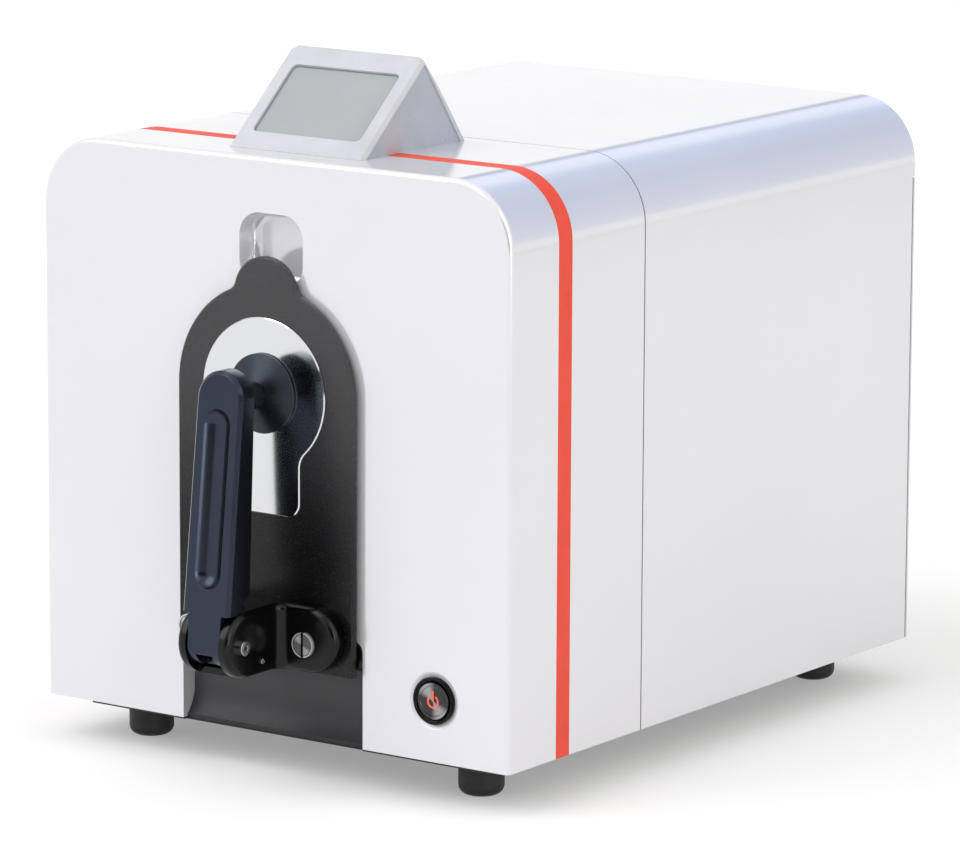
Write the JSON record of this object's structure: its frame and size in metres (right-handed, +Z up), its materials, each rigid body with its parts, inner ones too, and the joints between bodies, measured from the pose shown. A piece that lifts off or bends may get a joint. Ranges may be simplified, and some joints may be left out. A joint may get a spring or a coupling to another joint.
{
  "type": "benchtop colorimeter",
  "caption": "Benchtop colour-measuring instrument: a boxy white case with a tilted display on top, and a hinged front measuring door that carries a sprung sample-holding arm.",
  "frame": {"origin": "centre of the bounding box's base, on the surface the feet stand on", "axes": "+Z up, -Y towards the user (the measuring door's side), +X to the user's right"},
  "size_m": [0.265, 0.3944, 0.3281],
  "materials": {
    "white_enamel": "satin white stove enamel with a soft sheen",
    "coral_band": "matt coral red inlay",
    "dark_steel": "matt charcoal powder coat",
    "black_rubber": "moulded rubber, dull",
    "zinc_steel": "zinc plated",
    "bright_steel": "turned stainless steel",
    "white_plastic": "fine satin moulding",
    "display_glass": "anti-glare cover glass",
    "lcd": "blank grey-green liquid crystal display",
    "circuit_board": "green laminate",
    "black_anodised": "turned and black anodised",
    "grey_enamel": "light grey enamel",
    "black_plastic": "moulded black",
    "alloy": "milled",
    "white_ceramic": "diffuse white",
    "sphere_coating": "diffuse barium-white coating",
    "lamp_glass": "xenon tube",
    "filter_glass": "pale yellow cut-off filter",
    "lens_glass": "coated optical glass",
    "motor_black": "black case",
    "supply_case": "perforated sheet",
    "graphite_enamel": "matt black powder coat with fine sparkle",
    "mirror_steel": "polished stainless steel",
    "black_enamel": "semi-gloss black enamel",
    "spring_steel": "oiled spring wire",
    "black_alloy": "satin black anodised alloy"
  },
  "bodies": {
    "chassis": {"front_cover": "white_enamel", "accent_stripe": "coral_band", "rear_cover": "white_enamel", "base_plate": "dark_steel", "feet": "black_rubber", "foot_screws": "zinc_steel", "recess_panel": "dark_steel", "hinge_ears": "dark_steel", "hinge_pins": "bright_steel", "display_housing": "white_plastic", "display_sides": "white_plastic", "display_window": "display_glass", "display_screen": "lcd", "display_board": "circuit_board", "button_bezel": "black_anodised", "button_nut": "zinc_steel", "rear_panel": "grey_enamel", "panel_screws": "zinc_steel", "power_inlet": "black_plastic", "inlet_pins": "bright_steel", "usb_socket": "bright_steel", "optical_bench": "alloy", "bench_posts": "alloy", "port_ring": "white_ceramic", "sphere_front_half": "sphere_coating", "sphere_rear_half": "sphere_coating", "sphere_pedestal": "alloy", "lamp_tube": "alloy", "lamp_housing": "alloy", "flash_lamp": "lamp_glass", "stage_brackets": "alloy", "lens_rails": "bright_steel", "lens_motor": "motor_black", "flap_bracket": "alloy", "flap_motor": "motor_black", "spectrometer_body": "alloy", "spectrometer_lid": "alloy", "grating": "lens_glass", "board_standoffs": "bright_steel", "main_board": "circuit_board", "power_supply": "supply_case", "flash_capacitor": "motor_black"},
    "door": {"door_plate": "graphite_enamel", "aperture_plate": "mirror_steel", "arm_bracket": "black_enamel", "bracket_screws": "bright_steel", "arm_pivot_pin": "bright_steel", "arm_dowel": "bright_steel", "arm_spring": "spring_steel"},
    "arm": {"arm_lever": "black_alloy", "pad_stem": "black_alloy"},
    "pad": {"pad_disc": "black_rubber", "pad_liner": "white_ceramic"},
    "button": {"power_button": "black_anodised"},
    "lens_carriage": {"lens_carriage": "alloy", "zoom_lens": "lens_glass"},
    "lens_screw": {"lens_screw": "bright_steel"},
    "uv_filter": {"uv_filter_frame": "alloy", "uv_filter_glass": "filter_glass"},
    "flap": {"specular_flap": "alloy"}
  },
  "joints": [
    {"name": "door_swing", "type": "hinge", "parent": "chassis", "child": "door", "pos_m": [0, -0.14345, 0.0594], "axis": [1, 0, 0], "range_deg": [0, 70]},
    {"name": "arm_swing", "type": "hinge", "parent": "door", "child": "arm", "pos_m": [0, -0.18645, 0.0701], "axis": [1, 0, 0], "range_deg": [0, 85], "stiffness_Nm_per_rad": 0.15, "springref_deg": -60.16},
    {"name": "pad_spin", "type": "hinge", "parent": "arm", "child": "pad", "pos_m": [0, -0.15695, 0.1798], "axis": [0, 1, 0], "continuous": true},
    {"name": "button_press", "type": "slide", "parent": "chassis", "child": "button", "axis": [0, 1, 0], "range_m": [0, 0.0016], "stiffness_N_per_m": 600, "springref_m": -0.002},
    {"name": "lens_slide", "type": "slide", "parent": "chassis", "child": "lens_carriage", "axis": [-0.1392, 0.9903, 0], "range_m": [0, 0.04]},
    {"name": "screw_turn", "type": "hinge", "parent": "chassis", "child": "lens_screw", "pos_m": [-0.02449, 0.02314, 0.1378], "axis": [-0.1392, 0.9903, 0], "range_deg": [0, 3600.1]},
    {"name": "filter_slide", "type": "slide", "parent": "chassis", "child": "uv_filter", "axis": [0, 0, 1], "range_m": [0, 0.036]},
    {"name": "flap_turn", "type": "hinge", "parent": "chassis", "child": "flap", "pos_m": [0.03996, 0.01106, 0.1958], "axis": [-0.1392, -0.9903, 0], "range_deg": [0, 60]}
  ],
  "couplings": [
    {"joint": "screw_turn", "follows": "lens_slide", "rad_per_m": 1570.8}
  ]
}
